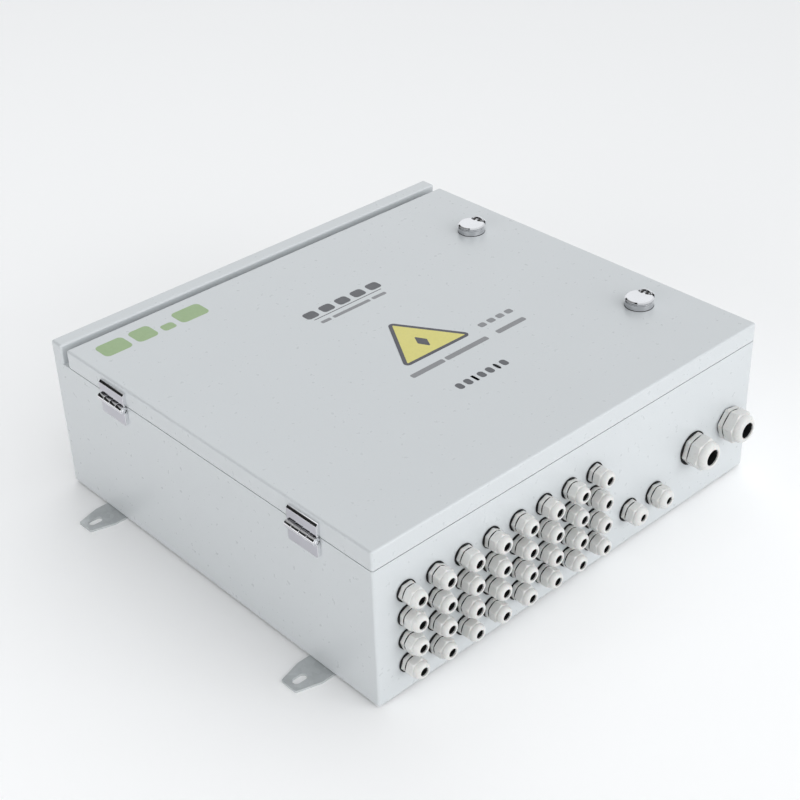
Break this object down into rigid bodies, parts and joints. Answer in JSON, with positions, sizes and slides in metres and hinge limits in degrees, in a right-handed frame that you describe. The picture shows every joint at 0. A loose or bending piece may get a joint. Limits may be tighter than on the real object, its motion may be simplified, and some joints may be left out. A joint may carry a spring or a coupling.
{
  "type": "dc combiner box",
  "caption": "Wall cabinet with a hinged door, rain canopy, cable glands in its bottom wall, quarter-turn locks, fuse holders, breaker, surge arrester and busbars.",
  "frame": {"origin": "centre of the four wall-mounting slots, on the underside of the lugs", "axes": "+Z out of the door, away from the wall; +Y towards the rain canopy, which is up on a wall; +X towards the lock side. The cabinet lies on its back."},
  "size_m": [0.622, 0.5315, 0.1943],
  "materials": {
    "powder_coat": "fine satin powder coat",
    "galvanised": "galvanised",
    "zinc_steel": "zinc plated",
    "hinge_chrome": "satin chrome",
    "lock_chrome": "polished",
    "spring_steel": "dark",
    "black_foam": "foam",
    "black_rubber": "matt",
    "gland_plastic": "satin moulded nylon",
    "label_yellow": "printed film",
    "device_plastic": "moulded",
    "carrier_plastic": "moulded",
    "cartridge_plastic": "moulded",
    "black_plastic": "moulded",
    "fuse_ceramic": "glazed",
    "copper": "bare copper",
    "insulator_red": "moulded",
    "brass": "bare"
  },
  "bodies": {
    "cabinet": {"cabinet_body": "powder_coat", "gland_wall": "powder_coat", "rain_canopy": "powder_coat", "mounting_lugs": "galvanised", "lug_screws": "zinc_steel", "cabinet_nuts": "zinc_steel", "string_gland_bodies": "gland_plastic", "string_gland_nuts": "gland_plastic", "outlet_gland_bodies": "gland_plastic", "outlet_gland_nuts": "gland_plastic", "gland_washers": "black_rubber", "gland_seals": "black_rubber", "gland_locknuts": "gland_plastic", "cabinet_hinge_leaves": "hinge_chrome", "hinge_pins": "hinge_chrome", "mounting_plate": "galvanised", "plate_studs": "zinc_steel", "din_rail": "zinc_steel", "fuse_bases": "device_plastic", "breaker_case": "device_plastic", "spd_base": "device_plastic", "positive_busbar": "copper", "negative_busbar": "copper", "busbar_insulators": "insulator_red", "earth_bar": "brass"},
    "door": {"door_panel": "powder_coat", "door_gasket": "black_foam", "door_stiffeners": "galvanised", "door_hinge_leaves": "hinge_chrome", "door_nuts": "zinc_steel", "warning_label": "label_yellow", "lock_housings": "lock_chrome", "dust_cover_pins": "zinc_steel", "dust_cover_springs": "spring_steel"},
    "upper_lock": {"lock_plug_upper": "lock_chrome", "lock_cam_upper": "zinc_steel"},
    "upper_dust_cover": {"dust_cover_upper": "lock_chrome"},
    "lower_lock": {"lock_plug_lower": "lock_chrome", "lock_cam_lower": "zinc_steel"},
    "lower_dust_cover": {"dust_cover_lower": "lock_chrome"},
    "fuse_carrier_1": {"fuse_carrier_1": "carrier_plastic", "fuse_links_1": "fuse_ceramic"},
    "fuse_carrier_2": {"fuse_carrier_2": "carrier_plastic", "fuse_links_2": "fuse_ceramic"},
    "fuse_carrier_3": {"fuse_carrier_3": "carrier_plastic", "fuse_links_3": "fuse_ceramic"},
    "fuse_carrier_4": {"fuse_carrier_4": "carrier_plastic", "fuse_links_4": "fuse_ceramic"},
    "fuse_carrier_5": {"fuse_carrier_5": "carrier_plastic", "fuse_links_5": "fuse_ceramic"},
    "fuse_carrier_6": {"fuse_carrier_6": "carrier_plastic", "fuse_links_6": "fuse_ceramic"},
    "fuse_carrier_7": {"fuse_carrier_7": "carrier_plastic", "fuse_links_7": "fuse_ceramic"},
    "fuse_carrier_8": {"fuse_carrier_8": "carrier_plastic", "fuse_links_8": "fuse_ceramic"},
    "breaker_handle": {"breaker_handle": "black_plastic"},
    "spd_cartridge_1": {"spd_cartridge_1": "cartridge_plastic"},
    "spd_cartridge_2": {"spd_cartridge_2": "cartridge_plastic"}
  },
  "joints": [
    {"name": "door_hinge", "type": "hinge", "parent": "cabinet", "child": "door", "pos_m": [-0.2748, -0.01275, 0.1585], "axis": [0, -1, 0], "range_deg": [0, 120]},
    {"name": "upper_lock_turn", "type": "hinge", "parent": "door", "child": "upper_lock", "pos_m": [0.215, 0.112, 0.17], "axis": [0, 0, 1], "range_deg": [0, 90]},
    {"name": "upper_dust_cover_flip", "type": "hinge", "parent": "door", "child": "upper_dust_cover", "pos_m": [0.22685, 0.11388, 0.1914], "axis": [-0.1564, 0.9877, 0], "range_deg": [0, 80], "stiffness_Nm_per_rad": 0.002},
    {"name": "lower_lock_turn", "type": "hinge", "parent": "door", "child": "lower_lock", "pos_m": [0.2155, -0.14, 0.17], "axis": [0, 0, 1], "range_deg": [0, 90]},
    {"name": "lower_dust_cover_flip", "type": "hinge", "parent": "door", "child": "lower_dust_cover", "pos_m": [0.22735, -0.13812, 0.1914], "axis": [-0.1564, 0.9877, 0], "range_deg": [0, 80], "stiffness_Nm_per_rad": 0.002},
    {"name": "fuse_carrier_1_tilt", "type": "hinge", "parent": "cabinet", "child": "fuse_carrier_1", "pos_m": [-0.197, 0.048, 0.0697], "axis": [1, 0, 0], "range_deg": [0, 80]},
    {"name": "fuse_carrier_2_tilt", "type": "hinge", "parent": "cabinet", "child": "fuse_carrier_2", "pos_m": [-0.161, 0.048, 0.0697], "axis": [1, 0, 0], "range_deg": [0, 80]},
    {"name": "fuse_carrier_3_tilt", "type": "hinge", "parent": "cabinet", "child": "fuse_carrier_3", "pos_m": [-0.125, 0.048, 0.0697], "axis": [1, 0, 0], "range_deg": [0, 80]},
    {"name": "fuse_carrier_4_tilt", "type": "hinge", "parent": "cabinet", "child": "fuse_carrier_4", "pos_m": [-0.089, 0.048, 0.0697], "axis": [1, 0, 0], "range_deg": [0, 80]},
    {"name": "fuse_carrier_5_tilt", "type": "hinge", "parent": "cabinet", "child": "fuse_carrier_5", "pos_m": [-0.053, 0.048, 0.0697], "axis": [1, 0, 0], "range_deg": [0, 80]},
    {"name": "fuse_carrier_6_tilt", "type": "hinge", "parent": "cabinet", "child": "fuse_carrier_6", "pos_m": [-0.017, 0.048, 0.0697], "axis": [1, 0, 0], "range_deg": [0, 80]},
    {"name": "fuse_carrier_7_tilt", "type": "hinge", "parent": "cabinet", "child": "fuse_carrier_7", "pos_m": [0.019, 0.048, 0.0697], "axis": [1, 0, 0], "range_deg": [0, 80]},
    {"name": "fuse_carrier_8_tilt", "type": "hinge", "parent": "cabinet", "child": "fuse_carrier_8", "pos_m": [0.055, 0.048, 0.0697], "axis": [1, 0, 0], "range_deg": [0, 80]},
    {"name": "breaker_handle_throw", "type": "hinge", "parent": "cabinet", "child": "breaker_handle", "pos_m": [0.184, -0.064, 0.072], "axis": [1, 0, 0], "range_deg": [0, 44]},
    {"name": "spd_cartridge_1_pull", "type": "slide", "parent": "cabinet", "child": "spd_cartridge_1", "axis": [0, 0, 1], "range_m": [0, 0.03]},
    {"name": "spd_cartridge_2_pull", "type": "slide", "parent": "cabinet", "child": "spd_cartridge_2", "axis": [0, 0, 1], "range_m": [0, 0.03]}
  ]
}
